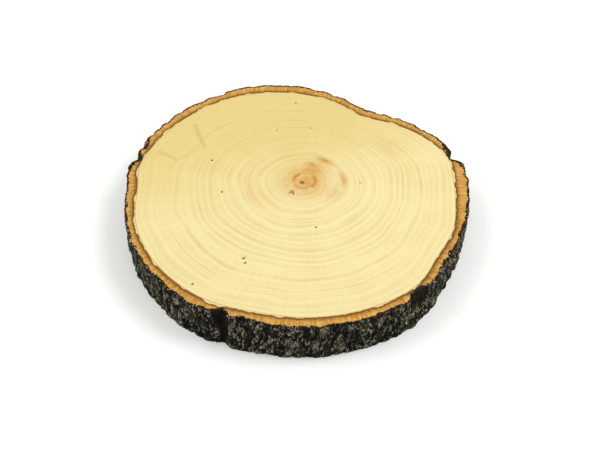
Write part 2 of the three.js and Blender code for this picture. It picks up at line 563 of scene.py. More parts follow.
def sanded_end_grain(look):
    """Pale hardwood sawn across the grain and sanded.

    It is matt and cream, with a soft tan line at the end of each year, faint rays out of the pith and an
    orange stain about it. The pores are too fine to show, so the mottle for them is drawn 1.2 mm wide.
    """
    material, tree, shader = new_material("Sanded pale hardwood, end grain")
    put = partial(add, tree)
    years, age, mark, scar, stain = (
        put("ShaderNodeAttribute", attribute_name=name).outputs["Fac"]
        for name in ("years", "age", "mark", "scar", "stain")
    )
    ray = put("ShaderNodeAttribute", attribute_name="ray").outputs["Vector"]
    place = put("ShaderNodeTexCoord").outputs["Object"]

    # Warmer wood towards the far left of the slice, and in its outer rings
    depth = put("ShaderNodeVectorMath", place, WARM_WAY, operation="DOT_PRODUCT").outputs["Value"]
    drift = put("ShaderNodeTexNoise", named={"Vector": place, "Scale": 1 / (60 * MM), "Detail": 2.0})
    drift = put("ShaderNodeMath", drift, 90 * MM, depth, operation="MULTIPLY_ADD")
    far = put("ShaderNodeMapRange", drift, 10 * MM, 125 * MM, 0.0, 0.85, interpolation_type="SMOOTHSTEP")
    outer = put("ShaderNodeMapRange", age, 0.6, 1.0, 0.0, 0.15, interpolation_type="SMOOTHSTEP")
    far = put("ShaderNodeMath", far, outer, operation="MAXIMUM")
    mixed = {"Factor_Float": far, "A_Color": look.early, "B_Color": look.far_side}
    base = put("ShaderNodeMix", named=mixed, data_type="RGBA")

    # Late wood darkens slowly through the year and ends in a line, stronger in some years and places
    phase = put("ShaderNodeMath", years, operation="FRACT")
    rise = put("ShaderNodeMapRange", phase, 0.1, 0.75, interpolation_type="SMOOTHSTEP")
    fall = put("ShaderNodeMapRange", phase, 0.75, 1.0, 1.0, 0.0, interpolation_type="SMOOTHSTEP")
    line = put("ShaderNodeMath", rise, fall, operation="MULTIPLY")
    year = put("ShaderNodeMath", years, operation="FLOOR")
    luck = put("ShaderNodeTexWhiteNoise", named={"W": year}, noise_dimensions="1D").outputs["Value"]
    luck = put("ShaderNodeMapRange", luck, 0.0, 1.0, 0.26, 0.66)
    patch = put("ShaderNodeTexNoise", named={"Vector": place, "Scale": 1 / (18 * MM), "Detail": 2.0})
    patch = put("ShaderNodeMapRange", patch, 0.35, 0.65, 0.4, 1.0)
    line = put("ShaderNodeMath", line, luck, operation="MULTIPLY")
    line = put("ShaderNodeMath", line, patch, operation="MULTIPLY")

    # Finer lines within the year
    third = put("ShaderNodeMath", years, 3.0, operation="MULTIPLY")
    third = put("ShaderNodeMath", third, 1.0, operation="PINGPONG")
    fine = put("ShaderNodeMapRange", third, 0.45, 1.0, 0.0, 0.28, interpolation_type="SMOOTHSTEP")
    fine = put("ShaderNodeMath", fine, patch, operation="MULTIPLY")
    line = put("ShaderNodeMath", line, fine, operation="MAXIMUM")
    mixed = {"Factor_Float": line, "A_Color": base, "B_Color": look.late}
    ringed = put("ShaderNodeMix", named=mixed, data_type="RGBA")

    # Rays, about 1.5 mm apart at the edge, and the mottle of the pores
    spread = put("ShaderNodeVectorMath", ray, (60, 60, 3), operation="MULTIPLY")
    rays = put("ShaderNodeTexNoise", named={"Vector": spread, "Scale": 1.0, "Detail": 2.0, "Roughness": 0.6})
    rays = put("ShaderNodeMapRange", rays, 0.3, 0.7, 0.97, 1.02)
    spread = {"Vector": place, "Scale": 1 / (1.2 * MM), "Detail": 3.0, "Roughness": 0.65}
    pores = put("ShaderNodeTexNoise", named=spread)
    mottle = put("ShaderNodeMapRange", pores, 0.25, 0.75, 0.95, 1.04)
    shade = put("ShaderNodeMath", rays, mottle, operation="MULTIPLY")
    grained = put("ShaderNodeVectorMath", named={"Vector": ringed, "Scale": shade}, operation="SCALE")

    # Stain about the pith, broken up by the grain
    spread = {"Vector": place, "Scale": 1 / (4 * MM), "Detail": 3.0, "Roughness": 0.6}
    soaked = put("ShaderNodeMapRange", put("ShaderNodeTexNoise", named=spread), 0.3, 0.6, 0.5, 1.0)
    soaked = put("ShaderNodeMath", soaked, stain, operation="MULTIPLY")

    # Over the grain: the stain, then healed wounds, specks and checks, and the brown line against the bark;
    # on the checks the dark is painted shade
    healed = put("ShaderNodeMath", scar, 0.28, operation="MULTIPLY")
    dark = put("ShaderNodeMath", mark, 0.92, operation="MULTIPLY")
    rim = put("ShaderNodeMapRange", age, 0.99, 1.0, 0.0, 0.5, interpolation_type="SMOOTHSTEP")
    tinted = grained
    for share, tint in ((soaked, look.stain), (healed, look.scar), (dark, look.mark), (rim, look.cambium)):
        mixed = {"Factor_Float": share, "A_Color": tinted, "B_Color": tint}
        tinted = put("ShaderNodeMix", named=mixed, data_type="RGBA")
    feed(tree, shader.inputs["Base Color"], tinted)

    grit = put("ShaderNodeBump", named={"Strength": 0.12, "Distance": 0.2 * MM, "Height": pores})
    feed(tree, shader.inputs["Normal"], grit)
    feed(tree, shader.inputs["Roughness"], put("ShaderNodeMapRange", pores, 0.0, 1.0, 0.6, 0.8))
    shader.inputs["IOR"].default_value = 1.45
    shader.inputs["Specular IOR Level"].default_value = 0.3
    return material


class WOODSLICE_OT_wood(bpy.types.Operator):
    """Models the sawn wood with its growth rings and marks"""

    bl_idname = "wood_slice.wood"
    bl_label = "Wood"

    def execute(self, context):
        look = context.scene.slice_wood
        piece = wood_blank("wood")
        run_tree(
            piece,
            growth_ring_tree(),
            {
                "Rings": look.rings,
                "Wobble": look.ring_wobble,
                "Relief": look.ring_relief,
                "Seed": float(look.seed),
                "Material": sanded_end_grain(look),
            },
        )
        piece.data.shade_smooth()
        piece.data.set_sharp_from_angle(angle=SHARP_ANGLE)
        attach(piece, BODY)
        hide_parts(WOOD_NODE)
        return {"FINISHED"}


def blurred(values, steps, axis, around):
    """Values blurred by a bell curve, over a number of steps to each side."""
    reach = math.ceil(2.5 * steps)
    weights = np.exp(-0.5 * (np.arange(-reach, reach + 1) / steps) ** 2)
    widths = [(0, 0)] * values.ndim
    widths[axis] = (reach, reach)
    padded = np.pad(values, widths, mode="wrap" if around else "edge")
    return np.apply_along_axis(np.convolve, axis, padded, weights / weights.sum(), "valid")


def bark_thickness(edge, outward, heights):
    """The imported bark's thickness at each spoke and height, with the facets blurred away."""
    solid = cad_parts[BARK_NODE].data
    corners = [vertex.co.copy() for vertex in solid.vertices]
    tree = BVHTree.FromPolygons(corners, [tuple(face.vertices) for face in solid.polygons])
    start = 0.05 * MM
    inside = np.clip(heights, start, heights.max() - start)
    found = np.empty((len(edge), len(heights)))
    for i, (point, out) in enumerate(zip(edge, outward)):
        way = Vector((*out, 0))
        for j, z in enumerate(inside):
            hit = tree.ray_cast(Vector((*(point + start * out), z)), way)
            if hit[0] is None:
                raise RuntimeError("the packed bark has no outer face at a spoke")
            found[i, j] = hit[3] + start
    step = np.linalg.norm(edge[1] - edge[0])
    found = blurred(found, FACET_BLUR / step, 0, True)
    return blurred(found, FACET_BLUR / (heights[1] - heights[0]), 1, False)


def dark_rim(edge, pith):
    """How far the crust runs in over the upper saw cut at each spoke, beyond its own thickness."""
    away = edge - pith
    bearing = np.degrees(np.arctan2(away[:, 1], away[:, 0]))
    far = np.linalg.norm(away, axis=1)
    run_in = np.zeros(len(edge))
    for where, half_length, most in DARK_RIMS:
        along = np.radians((bearing - where + 180) % 360 - 180) * far / (half_length * MM)
        run_in = np.maximum(run_in, most * MM * (1 - smooth(np.abs(along), 0.5, 1.0)))
    return run_in


def bark_blank(name):
    """The ring of bark as sections round the wood, with what its tree and its finish read."""
    pith, edge, outward = wood_outline(BARK_SPOKES)
    height = slice_height()
    heights = np.linspace(0, height, BARK_LEVELS + 1)
    thick = bark_thickness(edge, outward, heights)
    step = np.linalg.norm(edge[1] - edge[0])
    reach = round(BREAK_SPAN / step)
    nearby = np.lib.stride_tricks.sliding_window_view(
        np.pad(np.percentile(thick, 60, axis=1), reach, mode="wrap"), 2 * reach + 1
    )
    grown = blurred(np.percentile(nearby, 70, axis=1), reach / 2, 0, True)[:, None]
    missing = smooth(grown - thick, *BREAK_DEPTHS)
    chip = np.array([noise.noise(Vector((*(p / CHIP_LENGTH), 3.7))) for p in edge])
    chip = CHIP_DEPTH * np.clip(chip - CHIP_FROM, 0, 1)

    # One section: down the wood, out along the lower cut, up the outer face and back along the upper cut
    inwards = np.arange(1, BARK_ROWS) / BARK_ROWS
    across = np.concatenate([[0, 0], inwards, np.ones(BARK_LEVELS + 1), inwards[::-1]])
    level = np.concatenate(
        [
            [BARK_LEVELS, 0],
            np.zeros(BARK_ROWS - 1),
            np.arange(BARK_LEVELS + 1),
            np.full(BARK_ROWS - 1, BARK_LEVELS),
        ]
    ).astype(int)
    size = len(across)
    depth = thick[:, level]
    outer = edge[:, None, :] + outward[:, None, :] * depth[:, :, None]
    flat = edge[:, None, :] + outward[:, None, :] * (depth * across)[:, :, None]
    rise = np.broadcast_to(heights[level], depth.shape).copy()
    rise -= chip[:, None] * (heights[level] / height) ** 6 * smooth(across, 0.7, 1.0)
    rise[:, 0] -= CAMBIUM_DEPTH
    rise[:, 1] += CAMBIUM_DEPTH
    grid = np.concatenate([flat, rise[:, :, None]], axis=2)
    faces = []
    for here in range(BARK_SPOKES):
        a, b = here * size, (here + 1) % BARK_SPOKES * size
        for j in range(size):
            k = (j + 1) % size
            faces.append((a + j, b + j, b + k, a + k))
    piece = new_piece(name, grid.reshape(-1, 3), faces)
    mesh = piece.data
    place = np.concatenate([outer, rise[:, :, None]], axis=2)
    ways = np.broadcast_to(np.append(outward, np.zeros((BARK_SPOKES, 1)), axis=1)[:, None, :], place.shape)
    carry(mesh, "place", place.reshape(-1, 3))
    carry(mesh, "outward", ways.reshape(-1, 3))
    carry(mesh, "across", np.broadcast_to(across, depth.shape).ravel())
    carry(mesh, "skin", (depth * (1 - across)).ravel())
    carry(mesh, "inset", (depth * across).ravel())
    carry(mesh, "broken", missing[:, level].ravel())
    carry(mesh, "dark", (dark_rim(edge, pith)[:, None] * (rise > height / 2)).ravel())
    return piece


def bark_plates(tree, place, width, height, seed):
    """Crooked plates, longer along the trunk than round it: how near a border is, and a draw for each."""
    put = partial(add, tree)
    cell = put("ShaderNodeCombineXYZ", width, width, height)
    cells = put("ShaderNodeVectorMath", place, cell, operation="DIVIDE")
    cells = put("ShaderNodeVectorMath", cells, seed, operation="ADD")
    crook = put("ShaderNodeTexNoise", named={"Vector": cells, "Scale": 1.4, "Detail": 2.0}).outputs["Color"]
    crook = put("ShaderNodeVectorMath", crook, (0.5, 0.5, 0.5), operation="SUBTRACT")
    cells = put("ShaderNodeVectorMath", crook, (1.5, 1.5, 1.5), cells, operation="MULTIPLY_ADD")
    spread = {"Vector": cells, "Scale": 1.0}
    border = put("ShaderNodeTexVoronoi", named=spread, feature="DISTANCE_TO_EDGE").outputs["Distance"]
    crack = put("ShaderNodeMapRange", border, 0.0, 0.14, 1.0, 0.0, interpolation_type="SMOOTHSTEP")
    draw = put("ShaderNodeTexVoronoi", named=spread, feature="F1").outputs["Color"]
    return crack, put("ShaderNodeSeparateXYZ", draw).outputs["X"]


def bark_ridges(tree, place, width, seed):
    """Thin wavy ridges that run mostly along the trunk, from 0 between them to 1 on their crests."""
    put = partial(add, tree)
    stretched = put("ShaderNodeMath", width, RIDGE_STRETCH, operation="MULTIPLY")
    across = put("ShaderNodeCombineXYZ", width, width, stretched)
    spot = put("ShaderNodeVectorMath", place, across, operation="DIVIDE")
    spot = put("ShaderNodeVectorMath", spot, seed, operation="ADD")
    spread = {"Vector": spot, "Scale": 1.0, "Detail": 1.5, "Roughness": 0.5, "Distortion": 0.9}
    waves = put("ShaderNodeMath", put("ShaderNodeTexNoise", named=spread), 0.5, operation="SUBTRACT")
    waves = put("ShaderNodeMath", waves, operation="ABSOLUTE")
    return put("ShaderNodeMapRange", waves, 0.0, 0.11, 1.0, 0.0)


def bark_relief_tree():
    """Breaks the bark's outer face into plates with wavy ridges on them, and tears its saw cuts a little."""
    plates = ("Plate Width", "Plate Length", "Crack Depth")
    ridges = ("Ridge Width", "Ridge Height", "Cut Tear", "Seed")
    inputs = {**dict.fromkeys(plates + ridges, "Float"), "Material": "Material"}
    tree, given, result = geometry_tree("Bark relief", inputs)
    put = partial(add, tree)
    place, outward = (
        put("GeometryNodeInputNamedAttribute", name, data_type="FLOAT_VECTOR")
        for name in ("place", "outward")
    )
    across, skin, broken = (
        put("GeometryNodeInputNamedAttribute", name, data_type="FLOAT")
        for name in ("across", "skin", "broken")
    )
    seed = put("ShaderNodeCombineXYZ", given["Seed"], given["Seed"], given["Seed"])
    crack, draw = bark_plates(tree, place, given["Plate Width"], given["Plate Length"], seed)
    crest = bark_ridges(tree, place, given["Ridge Width"], seed)

    # High on a plate's ridges, low in the cracks, calmer where bark has broken off and by the saw cuts
    relief = put("ShaderNodeMath", draw, 0.5, crest, operation="MULTIPLY_ADD")
    relief = put("ShaderNodeMath", relief, 0.5, operation="SUBTRACT")
    relief = put("ShaderNodeMath", relief, given["Ridge Height"], operation="MULTIPLY")
    sunk = put("ShaderNodeMath", crack, given["Crack Depth"], operation="MULTIPLY")
    relief = put("ShaderNodeMath", relief, sunk, operation="SUBTRACT")
    calm = put("ShaderNodeMapRange", broken, 0.0, 1.0, 1.0, 0.6)
    relief = put("ShaderNodeMath", relief, calm, operation="MULTIPLY")
    middle = slice_height() / 2
    rise = put("ShaderNodeSeparateXYZ", place).outputs["Z"]
    rise = put("ShaderNodeMath", rise, middle, operation="SUBTRACT")
    rise = put("ShaderNodeMath", rise, operation="ABSOLUTE")
    trim = put("ShaderNodeMapRange", rise, middle - RIM_CALM, middle, 1.0, 0.5)
    relief = put("ShaderNodeMath", relief, trim, operation="MULTIPLY")
    share = put("ShaderNodeMath", across, 4.0, operation="POWER")
    push = put("ShaderNodeMath", relief, share, operation="MULTIPLY")
    shift = put("ShaderNodeVectorMath", named={"Vector": outward, "Scale": push}, operation="SCALE")

    # Saw cuts: the tears sink into both faces, and stop short of the wood and of the outer face
    torn = put("ShaderNodeTexNoise", named={"Scale": 1 / (1.4 * MM), "Detail": 2.0})
    torn = put("ShaderNodeMath", torn, given["Cut Tear"], operation="MULTIPLY")
    torn = put("ShaderNodeMath", torn, put("ShaderNodeMapRange", skin, 0.0, 0.5 * MM), operation="MULTIPLY")
    torn = put("ShaderNodeMath", torn, put("ShaderNodeMapRange", across, 0.0, 0.25), operation="MULTIPLY")
    level = put("ShaderNodeSeparateXYZ", put("GeometryNodeInputNormal")).outputs["Z"]
    sink = put("ShaderNodeMath", torn, level, operation="MULTIPLY")
    sink = put("ShaderNodeMath", sink, -1.0, operation="MULTIPLY")
    shift = put("ShaderNodeVectorMath", shift, put("ShaderNodeCombineXYZ", 0.0, 0.0, sink), operation="ADD")

    made = put("GeometryNodeSetPosition", named={"Geometry": given["Geometry"], "Offset": shift})
    end_tree(tree, result, made, given["Material"])
    return tree


def furrowed_bark(look):
    """Bark of a young hardwood trunk, sawn across.

    Outside it is dull and near black, with thin grey-olive ridges and a little rust where scales have gone.
    On the saw cuts the inner bark is orange and fibrous, darker against the wood, under a thin dark crust.
    """
    material, tree, shader = new_material("Furrowed hardwood bark")
    put = partial(add, tree)
    skin, inset, broken, dark = (
        put("ShaderNodeAttribute", attribute_name=name).outputs["Fac"]
        for name in ("skin", "inset", "broken", "dark")
    )
    edge, outward = (
        put("ShaderNodeAttribute", attribute_name=name).outputs["Vector"] for name in ("place", "outward")
    )
    place = put("ShaderNodeTexCoord").outputs["Object"]

    # The same plates and ridges as the relief has
    seed = (look.seed, look.seed, look.seed)
    crack, draw = bark_plates(tree, edge, look.plate_width, look.plate_length, seed)
    crest = bark_ridges(tree, edge, look.ridge_width, seed)

    # Outer face: dark between the ridges, grey-olive on them, with pale bloom on some plates
    spread = {"Vector": place, "Scale": 1 / (1.0 * MM), "Detail": 3.0, "Roughness": 0.7}
    flecks = put("ShaderNodeTexNoise", named=spread)
    fleck = put("ShaderNodeMapRange", flecks, 0.36, 0.6)
    mixed = {"Factor_Float": draw, "A_Color": look.furrow, "B_Color": look.plate}
    outer = put("ShaderNodeMix", named=mixed, data_type="RGBA")
    tops = put("ShaderNodeMapRange", crest, 0.3, 0.95, interpolation_type="SMOOTHSTEP")
    tops = put("ShaderNodeMath", tops, fleck, operation="MULTIPLY")
    patch = put("ShaderNodeTexNoise", named={"Vector": place, "Scale": 1 / (7 * MM), "Detail": 3.0})
    bloom = put("ShaderNodeMapRange", patch, 0.52, 0.68, 0.0, 0.9)
    bloom = put("ShaderNodeMath", bloom, tops, operation="MULTIPLY")

    # Rust in patches, and where the bark has broken off painted shade: nearly black, with a little rust in
    # flecks
    rusty = put("ShaderNodeTexNoise", named={"Vector": place, "Scale": 1 / (12 * MM), "Detail": 4.0})
    rust = put("ShaderNodeMapRange", rusty, 0.66, 0.74, 0.0, 0.7)
    rust_in_shade = put("ShaderNodeMapRange", flecks, 0.52, 0.75, 0.0, 0.22)
    mixed = {"Factor_Float": rust_in_shade, "A_Color": look.furrow, "B_Color": look.rust}
    rust_in_shade = put("ShaderNodeMix", named=mixed, data_type="RGBA")
    gone = put("ShaderNodeMapRange", broken, 0.06, 0.45)
    for share, tint in ((tops, look.ridge), (bloom, look.bloom), (rust, look.rust), (gone, rust_in_shade)):
        mixed = {"Factor_Float": share, "A_Color": outer, "B_Color": tint}
        outer = put("ShaderNodeMix", named=mixed, data_type="RGBA")
    spread = {"Vector": place, "Scale": 1 / (9 * MM), "Detail": 2.0, "Roughness": 0.6}
    broad = put("ShaderNodeMapRange", put("ShaderNodeTexNoise", named=spread), 0.35, 0.62, 0.3, 1.15)
    outer = put("ShaderNodeVectorMath", named={"Vector": outer, "Scale": broad}, operation="SCALE")
    # Painted shade: the colour is darkened nearly to black down in the cracks between the plates
    painted_crack_shade = put("ShaderNodeMapRange", crack, 0.05, 0.7, 1.0, 0.08)
    outer = put("ShaderNodeVectorMath", named={"Vector": outer, "Scale": painted_crack_shade}, operation="SCALE")

    # Saw cuts: fibres that run out from the wood, stretched five times along their length
    inward = put("ShaderNodeMath", skin, -0.2, operation="MULTIPLY")
    along = put("ShaderNodeVectorMath", named={"Vector": outward, "Scale": inward}, operation="SCALE")
    along = put("ShaderNodeVectorMath", edge, along, operation="ADD")
    spread = {"Vector": along, "Scale": 1 / (1.3 * MM), "Detail": 3.0, "Roughness": 0.65}
    fibres = put("ShaderNodeMapRange", put("ShaderNodeTexNoise", named=spread), 0.4, 0.62)
    mixed = {"Factor_Float": fibres, "A_Color": look.inner, "B_Color": look.inner_pale}
    cut = put("ShaderNodeMix", named=mixed, data_type="RGBA")
    spread = {"Vector": place, "Scale": 1 / (1.7 * MM), "Detail": 3.0, "Roughness": 0.6}
    lumps = put("ShaderNodeTexNoise", named=spread)
    depth = put("ShaderNodeMath", lumps, 3.5 * MM, inset, operation="MULTIPLY_ADD")
    near = put("ShaderNodeMapRange", depth, 2.2 * MM, 5.2 * MM, 0.85, 0.0, interpolation_type="SMOOTHSTEP")
    mixed = {"Factor_Float": near, "A_Color": cut, "B_Color": look.inner_dark}
    cut = put("ShaderNodeMix", named=mixed, data_type="RGBA")
    # The border with the wood wavers, with a dark line along it
    waver = put("ShaderNodeTexNoise", named={"Vector": edge, "Scale": 1 / (9 * MM), "Detail": 2.0})
    waver = put("ShaderNodeMapRange", waver, 0.4, 0.7, -0.4 * MM, 1.3 * MM)
    over = put("ShaderNodeMath", inset, waver, operation="SUBTRACT")
    line = put("ShaderNodeMapRange", over, 0.3 * MM, 1.4 * MM, 0.5, 1.0)
    cut = put("ShaderNodeVectorMath", named={"Vector": cut, "Scale": line}, operation="SCALE")
    still_wood = put("ShaderNodeMapRange", over, -0.1 * MM, 0.1 * MM, 1.0, 0.0)
    mixed = {"Factor_Float": still_wood, "A_Color": cut, "B_Color": look.sapwood}
    cut = put("ShaderNodeMix", named=mixed, data_type="RGBA")

    # The crust is plain and dark on the cut. Its thickness wanders, and dark runs further in at the breaks
    sawn = put("ShaderNodeMapRange", skin, 0.0, 0.35 * MM)
    mixed = {"Factor_Float": fleck, "A_Color": look.furrow, "B_Color": look.crust_colour}
    plain = put("ShaderNodeMix", named=mixed, data_type="RGBA")
    mixed = {"Factor_Float": sawn, "A_Color": outer, "B_Color": plain}
    outer = put("ShaderNodeMix", named=mixed, data_type="RGBA")
    crust = put("ShaderNodeMapRange", lumps, 0.3, 0.7, 0.5 * look.crust, 1.5 * look.crust)
    ragged = put("ShaderNodeMapRange", lumps, 0.3, 0.65, 0.5, 1.2)
    crust = put("ShaderNodeMath", dark, ragged, crust, operation="MULTIPLY_ADD")
    below = put("ShaderNodeMath", skin, crust, operation="SUBTRACT")
    opened = put("ShaderNodeMapRange", below, -0.12 * MM, 0.12 * MM, interpolation_type="SMOOTHSTEP")
    mixed = {"Factor_Float": opened, "A_Color": outer, "B_Color": cut}
    feed(tree, shader.inputs["Base Color"], put("ShaderNodeMix", named=mixed, data_type="RGBA"))

    grain = put("ShaderNodeBump", named={"Strength": 0.5, "Distance": 0.4 * MM, "Height": flecks})
    feed(tree, shader.inputs["Normal"], grain)
    feed(tree, shader.inputs["Roughness"], put("ShaderNodeMapRange", flecks, 0.0, 1.0, 0.8, 1.0))
    shader.inputs["IOR"].default_value = 1.45
    shader.inputs["Specular IOR Level"].default_value = 0.2
    return material


class WOODSLICE_OT_bark(bpy.types.Operator):
    """Models the ring of bark, furrowed outside and fibrous on its saw cuts"""

    bl_idname = "wood_slice.bark"
    bl_label = "Bark"

    def execute(self, context):
        look = context.scene.slice_bark
        piece = bark_blank("bark")
        run_tree(
            piece,
            bark_relief_tree(),
            {
                "Plate Width": look.plate_width,
                "Plate Length": look.plate_length,
                "Crack Depth": look.crack_depth,
                "Ridge Width": look.ridge_width,
                "Ridge Height": look.ridge_height,
                "Cut Tear": look.cut_tear,
                "Seed": float(look.seed),
                "Material": furrowed_bark(look),
            },
        )
        piece.data.shade_smooth()
        piece.data.set_sharp_from_angle(angle=SHARP_ANGLE)
        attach(piece, BODY)
        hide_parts(BARK_NODE)
        return {"FINISHED"}


def bark_copy(name):
    """A copy of the finished bark, for what sits on it to be scattered over."""
    bark = bpy.data.objects.get("bark")
    if bark is None:
        raise RuntimeError("the bark has to be modelled first")
    piece = bpy.data.objects.new(name, bark.data.copy())
    bpy.context.scene.collection.objects.link(piece)
    return piece


def scale_tree():
    """Scatters thin scales over the bark's outer face, long side along the trunk, each with its own tone."""
    sizes = ("Density", "Width", "Length", "Thickness")
    tree, given, result = geometry_tree(
        "Bark scales", {**dict.fromkeys(sizes, "Float"), "Seed": "Int", "Material": "Material"}
    )
    put = partial(add, tree)
    skin = put("GeometryNodeInputNamedAttribute", "skin", data_type="FLOAT")
    broken = put("GeometryNodeInputNamedAttribute", "broken", data_type="FLOAT")
    outer = put("FunctionNodeCompare", skin, OUTER_FACE, data_type="FLOAT", operation="LESS_THAN")
    whole = put("FunctionNodeCompare", broken, 0.2, data_type="FLOAT", operation="LESS_THAN")
    wanted = put("FunctionNodeBooleanMath", outer, whole, operation="AND")
    rise = put("ShaderNodeSeparateXYZ", put("GeometryNodeInputPosition")).outputs["Z"]
    middle = slice_height() / 2
    inside = {"A": rise, "B": middle, "Epsilon": middle - SCALE_MARGIN}
    inside = put("FunctionNodeCompare", named=inside, data_type="FLOAT", operation="EQUAL")
    wanted = put("FunctionNodeBooleanMath", wanted, inside, operation="AND")
    spread = {"Mesh": given["Geometry"], "Selection": wanted}
    spread.update({name: given[name] for name in ("Density", "Seed")})
    spots = put("GeometryNodeDistributePointsOnFaces", named=spread)

    # Each stands along the trunk, then leans and turns a little
    upright = {"Rotation": spots.outputs["Rotation"], "Vector": (0.0, 0.0, 1.0)}
    upright = put("FunctionNodeAlignRotationToVector", named=upright, axis="Y", pivot_axis="Z")
    least, most = (-0.12, -0.2, -0.5), (0.12, 0.2, 0.5)
    lean = {"Min": least, "Max": most, "Seed": given["Seed"]}
    lean = put("FunctionNodeRandomValue", named=lean, data_type="FLOAT_VECTOR")
    lean = put("FunctionNodeEulerToRotation", lean)
    turned = put("FunctionNodeRotateRotation", upright, lean, rotation_space="LOCAL")
    sizes = put("ShaderNodeCombineXYZ", given["Width"], given["Length"], given["Thickness"])
    draw = {"Min": (0.5, 0.4, 0.6), "Max": (1.3, 1.4, 1.3), "Seed": given["Seed"]}
    draw = put("FunctionNodeRandomValue", named=draw, data_type="FLOAT_VECTOR")
    sizes = put("ShaderNodeVectorMath", sizes, draw, operation="MULTIPLY")

    # A scale is a seven-sided chip, narrower above, of unit size
    chip = {"Vertices": 7, "Radius Top": 0.3, "Radius Bottom": 0.5, "Depth": 1.0}
    chip = put("GeometryNodeMeshCone", named=chip).outputs["Mesh"]
    sunk = put("GeometryNodeTransform", named={"Geometry": chip, "Translation": (0.0, 0.0, -0.45)})
    placed = {"Points": spots.outputs["Points"], "Instance": sunk, "Rotation": turned, "Scale": sizes}
    chips = put("GeometryNodeInstanceOnPoints", named=placed)
    tone = put("FunctionNodeRandomValue", named={"Seed": given["Seed"]}, data_type="FLOAT")
    told = {"Geometry": chips, "Name": "tone", "Value": tone}
    chips = put("GeometryNodeStoreNamedAttribute", named=told, data_type="FLOAT", domain="INSTANCE")
    end_tree(tree, result, chips, given["Material"])
    return tree


def weathered_scale(look):
    """Dry flake of outer bark: dull, from brown-black to grey-olive, so that the bark looks uneven."""
    material, tree, shader = new_material("Weathered bark scale")
    put = partial(add, tree)
    tone = put("ShaderNodeAttribute", attribute_name="tone").outputs["Fac"]
    place = put("ShaderNodeTexCoord").outputs["Object"]
    speckle = put("ShaderNodeTexNoise", named={"Vector": place, "Scale": 1 / (0.9 * MM), "Detail": 2.0})
    tone = put("ShaderNodeMath", tone, 2.6, operation="POWER")
    speckle = put("ShaderNodeMapRange", speckle, 0.3, 0.7, 0.6, 1.2)
    tone = put("ShaderNodeMath", tone, speckle, operation="MULTIPLY")
    mixed = {"Factor_Float": tone, "A_Color": look.dark, "B_Color": look.pale}
    feed(tree, shader.inputs["Base Color"], put("ShaderNodeMix", named=mixed, data_type="RGBA"))
    shader.inputs["Roughness"].default_value = 0.9
    shader.inputs["Specular IOR Level"].default_value = 0.2
    return material


class WOODSLICE_OT_scales(bpy.types.Operator):
    """Scatters loose scales over the outer bark"""

    bl_idname = "wood_slice.scales"
    bl_label = "Bark scales"

    def execute(self, context):
        look = context.scene.slice_scales
        piece = bark_copy("bark_scales")
        run_tree(
            piece,
            scale_tree(),
            {
                "Density": look.density,
                "Width": look.width,
                "Length": look.height,
                "Thickness": look.thickness,
                "Seed": look.seed,
                "Material": weathered_scale(look),
            },
        )
        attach(piece, BODY)
        return {"FINISHED"}


def fibre_tree():
    """Stands torn fibres along the outer edge of the upper saw cut, in stretches, pointing outwards."""
    tree, given, result = geometry_tree(
        "Torn fibres",
        {"Density": "Float", "Length": "Float", "Thickness": "Float", "Seed": "Int", "Material": "Material"},
    )
    put = partial(add, tree)
    skin = put("GeometryNodeInputNamedAttribute", "skin", data_type="FLOAT")
    outward = put("GeometryNodeInputNamedAttribute", "outward", data_type="FLOAT_VECTOR")
    level = put("ShaderNodeSeparateXYZ", put("GeometryNodeInputNormal")).outputs["Z"]
    upper = put("FunctionNodeCompare", level, 0.6, data_type="FLOAT", operation="GREATER_THAN")
    outer = put("FunctionNodeCompare", skin, FIBRE_BAND[1], data_type="FLOAT", operation="LESS_THAN")
    inner = put("FunctionNodeCompare", skin, FIBRE_BAND[0], data_type="FLOAT", operation="GREATER_THAN")
    stretch = put("ShaderNodeTexNoise", named={"Scale": 1 / (15 * MM), "Detail": 2.0})
    torn = put("FunctionNodeCompare", stretch, 0.5, data_type="FLOAT", operation="GREATER_THAN")
    wanted = put("FunctionNodeBooleanMath", upper, outer, operation="AND")
    wanted = put("FunctionNodeBooleanMath", wanted, inner, operation="AND")
    wanted = put("FunctionNodeBooleanMath", wanted, torn, operation="AND")
    spread = {"Mesh": given["Geometry"], "Selection": wanted}
    spread.update({name: given[name] for name in ("Density", "Seed")})
    spots = put("GeometryNodeDistributePointsOnFaces", named=spread)

    # A fibre is a three-sided spike of unit length that leans out over the crust
    spike = {"Vertices": 3, "Radius Top": 0.1, "Radius Bottom": 0.5, "Depth": 1.0}
    spike = put("GeometryNodeMeshCone", named=spike).outputs["Mesh"]
    aim = put("FunctionNodeAlignRotationToVector", named={"Vector": outward}, axis="Z")
    lean = {"Min": (-0.5, -0.5, -3.1), "Max": (0.5, 0.5, 3.1), "Seed": given["Seed"]}
    lean = put("FunctionNodeRandomValue", named=lean, data_type="FLOAT_VECTOR")
    lean = put("FunctionNodeEulerToRotation", lean)
    turned = put("FunctionNodeRotateRotation", aim, lean, rotation_space="LOCAL")
    sizes = put("ShaderNodeCombineXYZ", given["Thickness"], given["Thickness"], given["Length"])
    draw = {"Min": (0.6, 0.6, 0.4), "Max": (1.2, 1.2, 1.2), "Seed": given["Seed"]}
    draw = put("FunctionNodeRandomValue", named=draw, data_type="FLOAT_VECTOR")
    sizes = put("ShaderNodeVectorMath", sizes, draw, operation="MULTIPLY")
    placed = {"Points": spots.outputs["Points"], "Instance": spike, "Rotation": turned, "Scale": sizes}
    spikes = put("GeometryNodeInstanceOnPoints", named=placed)
    end_tree(tree, result, spikes, given["Material"])
    return tree


